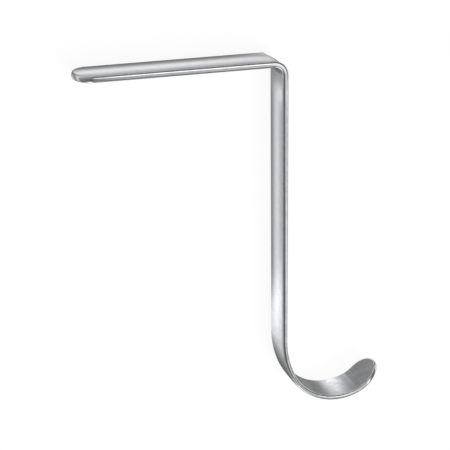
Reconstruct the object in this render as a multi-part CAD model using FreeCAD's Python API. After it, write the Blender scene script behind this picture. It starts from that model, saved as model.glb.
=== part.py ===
import FreeCAD, Part
import math
import os

# A hand-held surgical retractor: one flat strap of stainless steel with a crowned face
# on both sides and rounded edges. A straight handle, one right-angle bend, a long shank
# that thins as it goes down, and a blade that curls up into a round-ended hook.
# Millimetres and degrees. The strap lies on one of its long edges: the shank runs along Y,
# the handle leaves it towards -X at the +Y end, and the hook opens towards +X at the -Y end.

# Driving dimensions of the strap
STRAP_WIDTH = 22.0        # handle, bend and shank, edge to edge
HANDLE_THICK = 4.6        # handle and bend, at the middle of the width
SHANK_END_THICK = 3.9     # where the shank runs into the blade
TIP_THICK = 2.8           # at the tip of the blade
TIP_WIDTH = 23.8          # the blade spreads a little towards its tip
CROWN = 0.5               # how far each broad face falls from its middle to its edge
TIP_CROWN = 0.09          # the blade is nearly flat
EDGE_RADIUS = 1.4         # rounding of the four long edges of handle and shank
TIP_EDGE_RADIUS = 0.9     # the same at the tip

# Driving dimensions of the side view, measured on the middle line of the thickness
HANDLE_LENGTH = 112.8     # from the round end to the start of the bend
HANDLE_END_LENGTH = 9.5   # the part of it that is the round end
BEND_RADIUS = 7.0
BEND_ANGLE = 89.0
SHANK_LENGTH = 163.3
LEAD_RADIUS, LEAD_ANGLE = 53.6, 24.5     # the gentle start of the hook
HOOK_RADIUS, HOOK_ANGLE = 31.8, 89.9     # the deep part of the hook
CURL_RADIUS, CURL_ANGLE = 19.5, 18.4     # it curls a little tighter before the tip
TIP_LENGTH = 12.5         # the straight, round tip of the blade

Z = FreeCAD.Vector(0, 0, 1)


def turned(v, degrees):
    """A flat direction turned about Z."""
    a = math.radians(degrees)
    return FreeCAD.Vector(v.x * math.cos(a) - v.y * math.sin(a), v.x * math.sin(a) + v.y * math.cos(a), 0)


def left_arc(point, heading, radius, degrees):
    """An arc of the middle line that turns left: its edge, where it ends and the heading there."""
    centre = point + turned(heading, 90) * radius
    middle = centre + turned(point - centre, degrees / 2)
    end = centre + turned(point - centre, degrees)
    return Part.Arc(point, middle, end).toShape(), end, turned(heading, degrees)


def quarter(size):
    """Points of a quarter of the section, as (across the thickness, across the width).

    The broad face is one arc that falls by the crown from its middle to its edge, and the
    corner arc touches that arc and the flat side. In order: the middle of the face, halfway
    to its end, its end, the middle of the corner and the start of the flat side."""
    width, thick, crown, corner = size
    half = width / 2
    face_radius = (half ** 2 + crown ** 2) / (2 * crown)
    face_centre = thick / 2 - face_radius
    b = half - corner
    a = face_centre + math.sqrt((face_radius - corner) ** 2 - b ** 2)
    lean = math.atan2(b, a - face_centre)

    def on_face(angle):
        return (face_centre + face_radius * math.cos(angle), face_radius * math.sin(angle))

    def on_corner(angle):
        return (a + corner * math.cos(angle), b + corner * math.sin(angle))

    return on_face(0), on_face(lean / 2), on_face(lean), on_corner((lean + math.pi / 2) / 2), (a, half)


def placed(point, heading):
    """A function that puts a point of the section, mirrored as asked, at a point of the middle line."""
    normal = turned(heading, 90)

    def at(pair, side_a=1, side_b=1):
        return point + normal * (side_a * pair[0]) + Z * (side_b * pair[1])

    return at


def section(point, heading, size):
    """The closed outline of the strap at a point of the middle line, square to the heading."""
    at = placed(point, heading)
    middle, halfway, face_end, corner, side = quarter(size)
    edges = []
    for s in (1, -1):
        edges.append(Part.Arc(at(face_end, s, -s), at(middle, s), at(face_end, s, s)))
        edges.append(Part.Arc(at(face_end, s, s), at(corner, s, s), at(side, s, s)))
        edges.append(Part.LineSegment(at(side, s, s), at(side, -s, s)))
        edges.append(Part.Arc(at(side, -s, s), at(corner, -s, s), at(face_end, -s, s)))
    return Part.Wire([e.toShape() for e in edges])


def half_section(point, heading, size):
    """The half of the section above the middle of the width, closed by a line across it."""
    at = placed(point, heading)
    middle, halfway, face_end, corner, side = quarter(size)
    edges = [Part.Arc(at(middle), at(halfway), at(face_end)),
             Part.Arc(at(face_end), at(corner), at(side)),
             Part.LineSegment(at(side), at(side, -1)),
             Part.Arc(at(side, -1), at(corner, -1), at(face_end, -1)),
             Part.Arc(at(face_end, -1), at(halfway, -1), at(middle, -1)),
             Part.LineSegment(at(middle, -1), at(middle))]
    return Part.Face(Part.Wire([e.toShape() for e in edges]))


def round_end(point, heading, size, length):
    """The round end beyond a section: half a turn of the half section, then pressed in or
    drawn out along the heading so that it is as long as asked."""
    start, along = FreeCAD.Vector(0, 0, 0), FreeCAD.Vector(1, 0, 0)
    end = half_section(start, along, size).revolve(start, turned(along, 90), 180)
    round_length = size[0] / 2
    press = FreeCAD.Matrix()
    press.scale(length / round_length, 1, 1)
    end = end.transformGeometry(press)
    end.Placement = FreeCAD.Placement(point, FreeCAD.Rotation(along, heading))
    return end


def straight_lengths(handle, shank_end):
    """The round end, the handle, the bend and the shank, and where the blade starts."""
    heading = turned(FreeCAD.Vector(1, 0, 0), BEND_ANGLE - 90)
    point = FreeCAD.Vector(0, 0, 0)
    pieces = [round_end(point, heading * -1, handle, HANDLE_END_LENGTH)]

    # The handle keeps one section from its round end to the bend.
    straight = heading * (HANDLE_LENGTH - HANDLE_END_LENGTH)
    pieces.append(Part.Face(section(point, heading, handle)).extrude(straight))
    point = point + straight

    # The bend carries the same section round its centre.
    centre = point + turned(heading, -90) * BEND_RADIUS
    pieces.append(Part.Face(section(point, heading, handle)).revolve(centre, Z * -1, BEND_ANGLE))
    point = centre + turned(point - centre, -BEND_ANGLE)
    heading = turned(heading, -BEND_ANGLE)

    # The shank is ground thinner as it goes down, so it is ruled between two sections.
    start = section(point, heading, handle)
    point = point + heading * SHANK_LENGTH
    pieces.append(Part.makeLoft([start, section(point, heading, shank_end)], True, True))
    return pieces, point, heading


def blade_lengths(point, heading, shank_end, tip):
    """The curled blade, swept along three arcs while it spreads and thins, and its round tip."""
    first = section(point, heading, shank_end)
    edges = []
    for radius, angle in ((LEAD_RADIUS, LEAD_ANGLE), (HOOK_RADIUS, HOOK_ANGLE), (CURL_RADIUS, CURL_ANGLE)):
        edge, point, heading = left_arc(point, heading, radius, angle)
        edges.append(edge)
    sweep = Part.BRepOffsetAPI.MakePipeShell(Part.Wire(edges))
    sweep.setBiNormalMode(Z)
    sweep.add(first, False, False)
    sweep.add(section(point, heading, tip), False, False)
    sweep.build()
    sweep.makeSolid()
    return [sweep.shape(), round_end(point, heading, tip, TIP_LENGTH)]


def make_retractor():
    """One solid, laid on its lower edge with the middle of its outline over the origin."""
    handle = (STRAP_WIDTH, HANDLE_THICK, CROWN, EDGE_RADIUS)
    shank_end = (STRAP_WIDTH, SHANK_END_THICK, CROWN, EDGE_RADIUS)
    tip = (TIP_WIDTH, TIP_THICK, TIP_CROWN, TIP_EDGE_RADIUS)
    pieces, point, heading = straight_lengths(handle, shank_end)
    pieces += blade_lengths(point, heading, shank_end, tip)
    strap = pieces[0].multiFuse(pieces[1:]).removeSplitter().Solids[0]
    box = strap.optimalBoundingBox()
    strap.translate(FreeCAD.Vector(-box.Center.x, -box.Center.y, -box.ZMin))
    return strap


os.makedirs("parts", exist_ok=True)
make_retractor().exportStep("parts/retractor.step")
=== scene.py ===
# %% [markdown]
# # A hand-held surgical retractor in satin stainless steel
#
# The real object is one strap of stainless steel, 22 mm wide. It has a straight handle, a square
# bend, a long shank and a blade that curls up to a round tip. The whole form is already in the
# imported model, so this lesson is about what is left: a camera that sees the strap as the
# photograph does, a steel that looks like steel, and light that shows it.
#
# The imported model comes in first, as one mesh in metres.

# %% Load the imported model
import math

import bpy
from mathutils import Matrix, Vector

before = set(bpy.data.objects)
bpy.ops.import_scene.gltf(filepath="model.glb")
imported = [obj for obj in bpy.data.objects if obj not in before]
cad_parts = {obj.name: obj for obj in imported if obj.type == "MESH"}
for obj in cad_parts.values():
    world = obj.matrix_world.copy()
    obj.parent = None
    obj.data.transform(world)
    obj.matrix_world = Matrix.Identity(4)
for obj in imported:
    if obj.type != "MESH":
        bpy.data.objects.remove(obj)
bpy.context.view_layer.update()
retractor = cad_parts["retractor"]

# %% [markdown]
# ## Two helpers
#
# Colours are written as sRGB hex values, because that is how a swatch is read off a sample of
# metal or card. Blender mixes light in linear values, so one function turns one into the other.
# A material is a tree of nodes, and each node takes the same three steps: make it, set it, link
# it. One function does all three, so that the cells below read as a list of what is in the steel.

# %% Colour and node helpers
MM = 0.001


def linear(hex_colour):
    """An sRGB colour such as #C8C9CB as linear red, green, blue and alpha."""
    shares = [int(hex_colour[i:i + 2], 16) / 255 for i in (1, 3, 5)]
    return tuple(s / 12.92 if s <= 0.04045 else ((s + 0.055) / 1.055) ** 2.4 for s in shares) + (1.0,)


def add_node(tree, kind, inputs=None, **settings):
    """A new node with its settings, and its inputs set to a value or linked to another node's output."""
    node = tree.nodes.new(kind)
    for name, value in settings.items():
        setattr(node, name, value)
    for socket, value in (inputs or {}).items():
        if isinstance(value, bpy.types.NodeSocket):
            tree.links.new(value, node.inputs[socket])
        else:
            node.inputs[socket].default_value = value
    return node


def new_material(name):
    """An empty material and its output node."""
    material = bpy.data.materials.new(name)
    material.use_nodes = True
    material.node_tree.nodes.clear()
    return material, add_node(material.node_tree, "ShaderNodeOutputMaterial")


print("mid grey in linear light:", round(linear("#808080")[0], 3))

# %% [markdown]
# ## The camera
#
# The photograph shows the retractor upright, seen from a little above its handle. Unheld, the
# real thing lies on one long edge, so here the camera looks down on it from the same side. Where
# it stands, and how long its lens is, were found by fitting the outline of the strap to the
# photograph. A long lens from a metre away keeps the handle and the shank nearly parallel.

# %% Camera
CAMERA_PLACE = Vector((-311.9, 389.2, 955.4)) * MM
CAMERA_AIM = Vector((-4.3, 8.7, 11.9)) * MM
CAMERA_ROLL = math.radians(-0.585)
LENS = 148.0      # mm, on a sensor 36 mm wide


def aimed(place, aim, up, roll=0.0):
    """A placing matrix for a camera or a lamp: it looks from place to aim with up at its top."""
    forward = (aim - place).normalized()
    right = forward.cross(up).normalized()
    turn = Matrix((right, right.cross(forward), -forward)).transposed()
    return Matrix.Translation(place) @ turn.to_4x4() @ Matrix.Rotation(roll, 4, "Z")


camera = bpy.data.objects.new("camera", bpy.data.cameras.new("camera"))
bpy.context.scene.collection.objects.link(camera)
bpy.context.scene.camera = camera
camera.data.lens = LENS
camera.matrix_world = aimed(CAMERA_PLACE, CAMERA_AIM, Vector((0, 1, 0)), CAMERA_ROLL)
print("the camera looks down at", round(math.degrees(math.asin(
    (CAMERA_PLACE - CAMERA_AIM).normalized().z)), 1), "degrees")

# %% [markdown]
# ## The crown of the strap
#
# The handle and the shank have a crowned face: it is highest along the middle of the strap and
# falls towards both edges, so that light runs along the steel in stripes. The model has a crown of
# half a millimetre, which tilts the face by 5 degrees at its edge. The stripes in the photograph
# ask for more tilt than that, but the narrow side of the strap shows there too, and it is too thick
# for a higher crown.
#
# So the rest is a bump: a height that only tilts the surface for the light that falls on it, and
# takes nothing off the mesh. The height falls with the square of the distance from the middle. It
# fades out where the blade begins, because the blade is ground flat, and around the bend, because
# the bending die presses it flat.

# %% Height of the crown
STRAP_MIDDLE = 11.9 * MM      # the strap lies on its edge, so its middle runs this far above the floor
HALF_WIDTH = 11.0 * MM
EDGE_TILT = 7.0               # degrees of extra tilt at the edge of a face
CROWN_ENDS = -75.0 * MM       # along Y, on the blade
CROWN_FULL = -25.0 * MM       # along Y, on the shank
BEND_PLACE = (28, 96, 11)     # x, y and reach of the bend (mm)
BEND_FLATTENS = -1.4          # at the bend: past -1, it also takes out half of the model's own crown

steel, steel_output = new_material("satin_stainless_steel")
tree = steel.node_tree
on_strap = add_node(tree, "ShaderNodeTexCoord").outputs["Object"]
axes = add_node(tree, "ShaderNodeSeparateXYZ", {0: on_strap}).outputs
off_middle = add_node(tree, "ShaderNodeMath", {
    0: axes["Z"], 1: STRAP_MIDDLE}, operation="SUBTRACT").outputs[0]
off_squared = add_node(tree, "ShaderNodeMath", {
    0: off_middle, 1: off_middle}, operation="MULTIPLY").outputs[0]
not_blade = add_node(tree, "ShaderNodeMapRange", {
    "Value": axes["Y"], "From Min": CROWN_ENDS, "From Max": CROWN_FULL}).outputs["Result"]


def bell_around(x, y, reach):
    """1 at a point of the side view, in mm, and falling as a bell curve to a third at its reach."""
    offset = add_node(tree, "ShaderNodeVectorMath", {
        0: on_strap, 1: (1, 1, 0), 2: (-x * MM, -y * MM, 0)}, operation="MULTIPLY_ADD").outputs[0]
    squared = add_node(tree, "ShaderNodeVectorMath", {
        0: offset, 1: offset}, operation="DOT_PRODUCT").outputs["Value"]
    power = add_node(tree, "ShaderNodeMath", {
        0: squared, 1: -1 / (reach * MM) ** 2}, operation="MULTIPLY").outputs[0]
    return add_node(tree, "ShaderNodeMath", {0: power}, operation="EXPONENT").outputs[0]


fall = -0.5 * math.tan(math.radians(EDGE_TILT)) / HALF_WIDTH
full_crown = add_node(tree, "ShaderNodeMath", {0: off_squared, 1: fall}, operation="MULTIPLY").outputs[0]
share = add_node(tree, "ShaderNodeMath", {
    0: bell_around(*BEND_PLACE), 1: BEND_FLATTENS, 2: not_blade}, operation="MULTIPLY_ADD").outputs[0]
crown = add_node(tree, "ShaderNodeMath", {0: full_crown, 1: share}, operation="MULTIPLY").outputs[0]
print("the bump falls by", round(-fall * HALF_WIDTH ** 2 / MM, 2), "mm at the edge")

# %% [markdown]
# ## Blended joints
#
# In the model each length of the strap meets the next at a line where its curve changes at once.
# Polished metal shows such a line as a crease, since a reflection turns twice as far as the
# surface does. On the real strap there is none, because the polishing wheel has run over it.
#
# More lengths in the model would soften the creases but wouldn't end them. So the shader blends
# them: around each joint it leans the surface normal along the strap, by 5 to 18 degrees at the
# joint and less further away, as a bell curve. The lean has one sign on the inside of the strap
# and the other on its outside, which the normal itself tells.
#
# The two narrow sides have one joint of this kind, where the round end of the handle begins. Both
# lean towards the end there, so the light along the side fades out before the end.

# %% Blended joints
JOINTS = [
    # name, x, y, reach (mm), along the strap, out of its face (degrees round), lean (degrees)
    ("handle into bend", 22, 104, 6, 0, 90, 5),
    ("bend into shank", 28, 97, 10, 90, 0, 18),
    ("hook into tip", 80.5, -100, 6, 43, 133, 9.0),
]
ROUND_END = (-81, 106, 8)     # x, y and reach (mm)
END_LEAN = 4.5                # degrees, towards the end

leaned = add_node(tree, "ShaderNodeNewGeometry").outputs["Normal"]
face = leaned
for name, x, y, reach, along, outward, lean in JOINTS:
    side = add_node(tree, "ShaderNodeVectorMath", {
        0: face, 1: Matrix.Rotation(math.radians(outward), 3, "Z") @ Vector((1, 0, 0))},
        operation="DOT_PRODUCT").outputs["Value"]
    amount = add_node(tree, "ShaderNodeMath", {
        0: bell_around(x, y, reach), 1: side}, operation="MULTIPLY").outputs[0]
    step = Matrix.Rotation(math.radians(along), 3, "Z") @ Vector((math.tan(math.radians(lean)), 0, 0))
    push = add_node(tree, "ShaderNodeVectorMath", {0: step, "Scale": amount}, operation="SCALE").outputs[0]
    leaned = add_node(tree, "ShaderNodeVectorMath", {
        0: leaned, 1: push}, operation="ADD", label=name).outputs[0]
on_side = add_node(tree, "ShaderNodeVectorMath", {
    0: face, 1: (0, 0, 1)}, operation="DOT_PRODUCT").outputs["Value"]
on_either = add_node(tree, "ShaderNodeMath", {0: on_side, 1: on_side}, operation="MULTIPLY").outputs[0]
amount = add_node(tree, "ShaderNodeMath", {
    0: bell_around(*ROUND_END), 1: on_either}, operation="MULTIPLY").outputs[0]
push = add_node(tree, "ShaderNodeVectorMath", {
    0: (-math.tan(math.radians(END_LEAN)), 0, 0), "Scale": amount}, operation="SCALE").outputs[0]
leaned = add_node(tree, "ShaderNodeVectorMath", {
    0: leaned, 1: push}, operation="ADD", label="round end").outputs[0]
leaned = add_node(tree, "ShaderNodeVectorMath", {0: leaned}, operation="NORMALIZE").outputs[0]
print(len(JOINTS) + 1, "joints blended")

# %% [markdown]
# ## Belt grain
#
# Satin steel is ground on a fine belt that runs along the strap. The belt leaves scratches about
# 0.05 to 0.1 mm wide and a few centimetres long, and the eye reads them as a grain. One pixel of
# the photograph is 0.6 mm, so lines of their real width would vanish. They are drawn 0.7 mm wide.
#
# The strap bends, but it bends in one plane: along it only X and Y change, and across it only Z.
# So one noise, squeezed in Z and drawn out in X and Y, follows the handle, the bend and the hook
# without any unwrapping.

# %% Belt grain
GRAIN_WIDTH = 0.7 * MM
GRAIN_LENGTH = 22.0 * MM

along_strap = add_node(tree, "ShaderNodeMapping", {
    "Vector": on_strap, "Scale": (1 / GRAIN_LENGTH, 1 / GRAIN_LENGTH, 1 / GRAIN_WIDTH)}).outputs[0]
grain = add_node(tree, "ShaderNodeTexNoise", {
    "Vector": along_strap, "Scale": 1.0, "Detail": 2.0, "Roughness": 0.6}).outputs["Fac"]
print("about", round(2 * HALF_WIDTH / GRAIN_WIDTH), "grain lines across the strap")

# %% [markdown]
# ## Clouds, and the wave of a hand finish
#
# A hand holds the strap against the belt, so the pressure is never even. That shows in two ways:
# the satin has clouds a few millimetres across, and the face itself waves by a few hundredths of
# a millimetre over a couple of centimetres, which makes its reflections wander. The blade is
# finished over a curved form, where the belt skips more, so its clouds are stronger.

# %% Clouds and waves
CLOUD_SIZE = 4.0 * MM
WAVE_LENGTH = 20.0 * MM
WAVE_HEIGHT = 0.03 * MM
GRAIN_HEIGHT = 0.003 * MM
SHANK_CLOUDS = 0.35           # of the clouds on the blade
CLEAR_BELOW, CLOUDED_ABOVE = 0.35, 0.65     # of the noise that makes the clouds

cloud_noise = add_node(tree, "ShaderNodeTexNoise", {
    "Vector": on_strap, "Scale": 1 / CLOUD_SIZE, "Detail": 3.0, "Roughness": 0.6}).outputs["Fac"]
cloud = add_node(tree, "ShaderNodeMapRange", {
    "Value": cloud_noise, "From Min": CLEAR_BELOW, "From Max": CLOUDED_ABOVE}).outputs["Result"]
wave = add_node(tree, "ShaderNodeTexNoise", {
    "Vector": on_strap, "Scale": 1 / WAVE_LENGTH, "Detail": 1.0}).outputs["Fac"]
cloud_force = add_node(tree, "ShaderNodeMapRange", {
    "Value": not_blade, "To Min": 1.0, "To Max": SHANK_CLOUDS}).outputs["Result"]
waved = add_node(tree, "ShaderNodeMath", {
    0: wave, 1: WAVE_HEIGHT, 2: crown}, operation="MULTIPLY_ADD").outputs[0]
height = add_node(tree, "ShaderNodeMath", {
    0: grain, 1: GRAIN_HEIGHT, 2: waved}, operation="MULTIPLY_ADD").outputs[0]
bump = add_node(tree, "ShaderNodeBump", {
    "Height": height, "Distance": 1.0, "Strength": 1.0, "Normal": leaned}).outputs["Normal"]
print("clouds", CLOUD_SIZE / MM, "mm, waves", WAVE_LENGTH / MM, "mm")

# %% [markdown]
# ## Wear along the edges
#
# An instrument is picked up, laid down and washed with others, and its rounded edges take the
# rubbing. There the satin is rubbed back to a polish: a little smoother and a little lighter, in
# broken patches. The corner of the strap starts 9.6 mm from its middle, so the distance from the
# middle tells where it is.

# %% Edge wear
WEAR_FROM, WEAR_TO = 9.2 * MM, 10.6 * MM
WEAR_PATCH = 3.0 * MM
UNWORN_BELOW, WORN_ABOVE = 0.4, 0.65        # of the noise that breaks the wear up

off_either_way = add_node(tree, "ShaderNodeMath", {0: off_middle}, operation="ABSOLUTE").outputs[0]
at_edge = add_node(tree, "ShaderNodeMapRange", {
    "Value": off_either_way, "From Min": WEAR_FROM, "From Max": WEAR_TO},
    interpolation_type="SMOOTHSTEP").outputs["Result"]
patches = add_node(tree, "ShaderNodeTexNoise", {
    "Vector": on_strap, "Scale": 1 / WEAR_PATCH, "Detail": 2.0}).outputs["Fac"]
worn = add_node(tree, "ShaderNodeMapRange", {
    "Value": patches, "From Min": UNWORN_BELOW, "From Max": WORN_ABOVE}).outputs["Result"]
wear = add_node(tree, "ShaderNodeMath", {0: at_edge, 1: worn}, operation="MULTIPLY").outputs[0]
print("wear covers the outer", round((HALF_WIDTH - WEAR_FROM) / MM, 1), "mm of each side")

# %% [markdown]
# ## The steel itself
#
# Stainless steel is a metal, so it has no colour of its own beneath the surface: its colour is
# the share of light that it reflects, a pale and slightly cool grey. What changes from place to
# place is how widely it scatters. A polished blade would have a roughness near 0.05 and a bead
# blasted one 0.4, and this satin lies between them. The grain and the clouds move it up and down,
# and the wear takes it down.

# %% Satin stainless steel
STEEL_PALE, STEEL_DEEP, STEEL_WORN = "#E9EAED", "#D8D9DD", "#F1F2F4"
SATIN_ROUGHNESS = 0.13
GRAIN_ROUGHENS, CLOUD_ROUGHENS, WEAR_SMOOTHS = 0.05, 0.06, -0.04

clouded = add_node(tree, "ShaderNodeMath", {0: cloud, 1: cloud_force}, operation="MULTIPLY").outputs[0]
satin = add_node(tree, "ShaderNodeMix", {
    "Factor": clouded, 6: linear(STEEL_PALE), 7: linear(STEEL_DEEP)}, data_type="RGBA").outputs[2]
colour = add_node(tree, "ShaderNodeMix", {
    "Factor": wear, 6: satin, 7: linear(STEEL_WORN)}, data_type="RGBA").outputs[2]
rough = SATIN_ROUGHNESS - GRAIN_ROUGHENS / 2
for source, change in ((grain, GRAIN_ROUGHENS), (clouded, CLOUD_ROUGHENS), (wear, WEAR_SMOOTHS)):
    rough = add_node(tree, "ShaderNodeMath", {
        0: source, 1: change, 2: rough}, operation="MULTIPLY_ADD").outputs[0]
surface = add_node(tree, "ShaderNodeBsdfPrincipled", {
    "Base Color": colour, "Metallic": 1.0, "Roughness": rough, "Normal": bump})
tree.links.new(surface.outputs["BSDF"], steel_output.inputs["Surface"])
for slot in retractor.material_slots:
    slot.material = steel
print("satin steel on", len(retractor.material_slots), "slot of the retractor,", len(tree.nodes), "nodes")

# %% [markdown]
# ## The light table
#
# Bare metal has hardly any shading of its own: it shows the room. Instruments are therefore
# photographed on a translucent white table, with soft boxes above it and beneath it. The table
# gives the white ground and takes the shadow, and the boxes below it put light into the faces
# that look down at the table.
#
# The floor here is that table. To the camera it is white with a faint shadow. To a ray that the
# steel reflects it is nearly clear, with a little of its own white, so that the steel also sees
# the boxes beneath. A ray that meets the sheet at a slant runs through more of it and picks up
# more of that white, as it does in real opal acrylic. To every other ray it is plain matt card.

# %% Table
TABLE_SIZE = 3000 * MM
TABLE_CARD = "#E6E6E6"
WHITE_TO_CAMERA = 0.85        # the rest is lit card, which holds the shadow
WHITE_TO_STEEL = 0.05         # the table's own white, seen in the steel straight through the sheet
WHITE_AT_SLANT = 0.6          # the same, seen at a slant
SLANT_FROM, SLANT_TO = 0.4, 0.9             # 0 is square to the sheet and 1 is along it
TABLE_GLOW = 1.05


def light_path(tree):
    """The kinds of ray, and 1 for a ray that comes straight from the camera or through glass."""
    ray = add_node(tree, "ShaderNodeLightPath").outputs
    straight = add_node(tree, "ShaderNodeMath", {
        0: ray["Is Camera Ray"], 1: ray["Is Transmission Ray"]}, operation="MAXIMUM").outputs[0]
    return ray, straight


bpy.ops.mesh.primitive_plane_add(size=TABLE_SIZE)
table = bpy.context.object
table.name = "table"
opal, opal_output = new_material("opal_acrylic_sheet")
tree = opal.node_tree
ray, straight = light_path(tree)
card = add_node(tree, "ShaderNodeBsdfDiffuse", {"Color": linear(TABLE_CARD)}).outputs[0]
glow = add_node(tree, "ShaderNodeEmission", {"Color": linear("#FFFFFF"), "Strength": TABLE_GLOW}).outputs[0]
clear = add_node(tree, "ShaderNodeBsdfTransparent").outputs[0]
slant = add_node(tree, "ShaderNodeLayerWeight", {"Blend": 0.5}).outputs["Facing"]
own_white = add_node(tree, "ShaderNodeMapRange", {
    "Value": slant, "From Min": SLANT_FROM, "From Max": SLANT_TO,
    "To Min": WHITE_TO_STEEL, "To Max": WHITE_AT_SLANT}, interpolation_type="SMOOTHSTEP").outputs["Result"]
mirrored = add_node(tree, "ShaderNodeMixShader", {0: own_white, 1: clear, 2: glow}).outputs[0]
white = add_node(tree, "ShaderNodeMath", {0: straight, 1: WHITE_TO_CAMERA}, operation="MULTIPLY").outputs[0]
seen = add_node(tree, "ShaderNodeMixShader", {0: white, 1: card, 2: glow}).outputs[0]
sheet = add_node(tree, "ShaderNodeMixShader", {0: ray["Is Glossy Ray"], 1: seen, 2: mirrored}).outputs[0]
tree.links.new(sheet, opal_output.inputs["Surface"])
table.data.materials.append(opal)
print("table", TABLE_SIZE / MM, "mm across")

# %% [markdown]
# ## Soft boxes
#
# Each soft box is a round patch of light on the far wall of the studio, brightest in its middle.
# Only reflected rays see the boxes, because they are here to draw the steel and not to light the
# table. The plan says where each one stands, from the retractor: round from +X, up from the
# table, how far its light reaches to half, and how bright it is. A negative height is below the
# table. Everything between the boxes stays dark, and that dark is what draws the lines along the
# edges of the strap.
#
# A mirror tells where a box has to stand: the cell prints what the two long faces mirror to the
# camera. The box for each face stands within six degrees of that. So the face is brightest along
# a stripe, and darker towards its edges, where the crown turns it away from the box.
#
# The patches could be lamps, but a lamp has a hard rim. Here the world makes them: the cosine
# between a ray and the middle of a box goes into an exponential, which falls off softly.

# %% Soft boxes
SOFT_BOXES = [
    # name, round, up, half width (degrees), brightness
    ("under the handle", 55, -63, 10, 0.85),       # the handle's face and the middle of the hook
    ("under the shank", -135, -58, 12, 0.7),       # the long face of the shank
    ("low right", -10, -15, 25, 0.9),              # the right rim of the shank and the hook
    ("high right", -40, 48, 11, 1.2),
    ("left wall", 140, 0, 55, 0.45),               # broad and faint: the left rims
    ("overhead", 15, 72, 13, 1.6),                 # the near edge of the strap
    ("front", -100, 25, 12, 2.0),
]
ROOM_LEVEL = 0.04             # the dark between the boxes, as the steel mirrors it
PLAIN_LEVEL = 0.3             # what every ray but a mirrored one sees of the world

world = bpy.data.worlds.new("studio")
bpy.context.scene.world = world
world.use_nodes = True
tree = world.node_tree
tree.nodes.clear()
ray, straight = light_path(tree)
toward = add_node(tree, "ShaderNodeTexCoord").outputs["Generated"]


def direction(azimuth, elevation):
    """The unit vector that points so many degrees round from +X and up from the table."""
    a, e = math.radians(azimuth), math.radians(elevation)
    return Vector((math.cos(a) * math.cos(e), math.sin(a) * math.cos(e), math.sin(e)))


boxes = ROOM_LEVEL
for name, azimuth, elevation, half_width, brightness in SOFT_BOXES:
    tightness = math.log(2) / (1 - math.cos(math.radians(half_width)))
    cosine = add_node(tree, "ShaderNodeVectorMath", {
        0: toward, 1: direction(azimuth, elevation)}, operation="DOT_PRODUCT").outputs["Value"]
    power = add_node(tree, "ShaderNodeMath", {
        0: cosine, 1: tightness, 2: -tightness}, operation="MULTIPLY_ADD").outputs[0]
    patch = add_node(tree, "ShaderNodeMath", {0: power}, operation="EXPONENT").outputs[0]
    boxes = add_node(tree, "ShaderNodeMath", {
        0: patch, 1: brightness, 2: boxes}, operation="MULTIPLY_ADD", label=name).outputs[0]
studio = add_node(tree, "ShaderNodeMix", {
    0: ray["Is Glossy Ray"], 2: PLAIN_LEVEL, 3: boxes}, data_type="FLOAT").outputs[0]
level = add_node(tree, "ShaderNodeMix", {0: straight, 2: studio, 3: 1.0}, data_type="FLOAT").outputs[0]
back = add_node(tree, "ShaderNodeBackground", {"Color": linear("#FFFFFF"), "Strength": level}).outputs[0]
add_node(tree, "ShaderNodeOutputWorld", {"Surface": back})
print(len(SOFT_BOXES), "soft boxes,", sum(1 for box in SOFT_BOXES if box[2] < 0), "of them below the table")
for name, outward in (("handle", Vector((0, 1, 0))), ("shank", Vector((-1, 0, 0)))):
    mirrored_ray = (CAMERA_AIM - CAMERA_PLACE).normalized().reflect(outward)
    azimuth = round(math.degrees(math.atan2(mirrored_ray.y, mirrored_ray.x)))
    elevation = round(math.degrees(math.asin(mirrored_ray.z)))
    print("the face of the", name, "mirrors what lies", azimuth, "round and", elevation, "up")

# %% [markdown]
# ## Lights close under the table
#
# A soft box on the far wall stands in the same direction from every point of the strap, so a
# straight face that mirrors it is equally bright from end to end. The photograph shows three
# places where a face isn't: the foot of the shank turns nearly white although the rest is grey,
# and so do the outside of the bend and the bottom of the hook. Lights that stand close do that,
# since each one is mirrored only where the strap is at the right distance from it.
#
# Each of these is a glowing patch on a level sheet of its own, 150 mm below the table. It is
# brightest in its middle and fades as a bell curve, so that it has no rim, and only mirrored rays
# see it.

# %% Near lights
NEAR_DEPTH = 150 * MM
SPREADS = 3       # each sheet reaches this many spreads from its middle, where the bell curve is spent
NEAR_LIGHTS = [
    # name, middle in x and y, spread in x and y (mm), brightness
    ("strip under the blade", -30, -123, 115, 22, 0.5),
    ("patch under the bend", 115, 90, 30, 28, 3.0),
    ("patch under the hook", 100, -28, 30, 27, 0.5),
]

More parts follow.
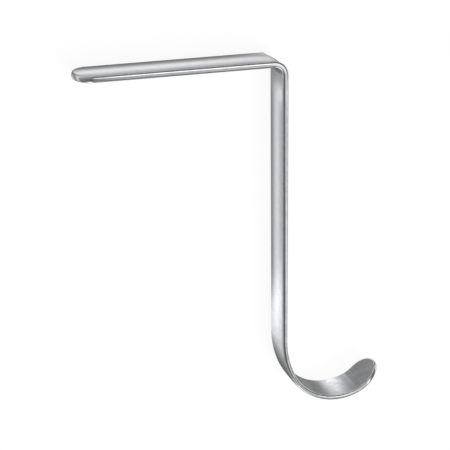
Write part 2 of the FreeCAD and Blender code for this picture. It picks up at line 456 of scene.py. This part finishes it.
for name, x, y, spread_x, spread_y, brightness in NEAR_LIGHTS:
    # A sheet 2 across before it is scaled, so that its own coordinates run from -1 to 1.
    bpy.ops.mesh.primitive_plane_add(size=2.0, location=(x * MM, y * MM, -NEAR_DEPTH))
    patch = bpy.context.object
    patch.name = name
    patch.scale = (SPREADS * spread_x * MM, SPREADS * spread_y * MM, 1.0)
    glowing, glowing_output = new_material(name)
    tree = glowing.node_tree
    from_middle = add_node(tree, "ShaderNodeTexCoord").outputs["Object"]
    far = add_node(tree, "ShaderNodeVectorMath", {
        0: from_middle, 1: from_middle}, operation="DOT_PRODUCT").outputs["Value"]
    fade = add_node(tree, "ShaderNodeMath", {0: far, 1: -SPREADS ** 2}, operation="MULTIPLY").outputs[0]
    bell = add_node(tree, "ShaderNodeMath", {0: fade}, operation="EXPONENT").outputs[0]
    strength = add_node(tree, "ShaderNodeMath", {0: bell, 1: brightness}, operation="MULTIPLY").outputs[0]
    light = add_node(tree, "ShaderNodeEmission", {
        "Color": linear("#FFFFFF"), "Strength": strength}).outputs[0]
    behind = add_node(tree, "ShaderNodeBsdfTransparent").outputs[0]
    added = add_node(tree, "ShaderNodeAddShader", {0: light, 1: behind}).outputs[0]
    tree.links.new(added, glowing_output.inputs["Surface"])
    patch.data.materials.append(glowing)
    for kind_of_ray in ("camera", "diffuse", "transmission", "volume_scatter", "shadow"):
        setattr(patch, "visible_" + kind_of_ray, False)
    print(name, "spreads over", spread_x, "by", spread_y, "mm")

# %% [markdown]
# ## Two plain lamps
#
# The shadow on the table comes from two big, weak area lamps: one at the lower right of the
# picture, halfway up, and one nearly straight above. Their light has a plain level, so that a
# painted surface here would show about the colour that it is written in. The steel doesn't mirror
# them, since it has the soft boxes.
#
# A lamp's power is worked out from the light that it should lay on the table, as a share of what
# makes a white card look white. An area lamp of power P at distance d gives P / (pi squared times
# d squared) straight below it, and less by the sine of its height when it stands low.

# %% Lamps
LAMPS = [
    # name, round, up (degrees), away, across (mm), share of the light on the table
    ("key lamp", -45, 50, 1500, 900, 0.3),
    ("top lamp", 0, 89, 1600, 900, 0.5),
]

for name, azimuth, elevation, away, across, share in LAMPS:
    lamp = bpy.data.lights.new(name, "AREA")
    lamp.shape = "DISK"
    lamp.size = across * MM
    lamp.energy = share * (math.pi * away * MM) ** 2 / math.sin(math.radians(elevation))
    stand = bpy.data.objects.new(name, lamp)
    bpy.context.scene.collection.objects.link(stand)
    place = direction(azimuth, elevation) * away * MM
    stand.matrix_world = aimed(place, Vector((0, 0, 0)), Vector((0, 1, 0)))
    stand.visible_glossy = False
    print(name, round(lamp.energy, 1), "W")

# %% [markdown]
# ## Finish
#
# The Standard view shows each colour as it was mixed, with no film look on top.

# %% Finish
bpy.context.scene.view_settings.view_transform = "Standard"
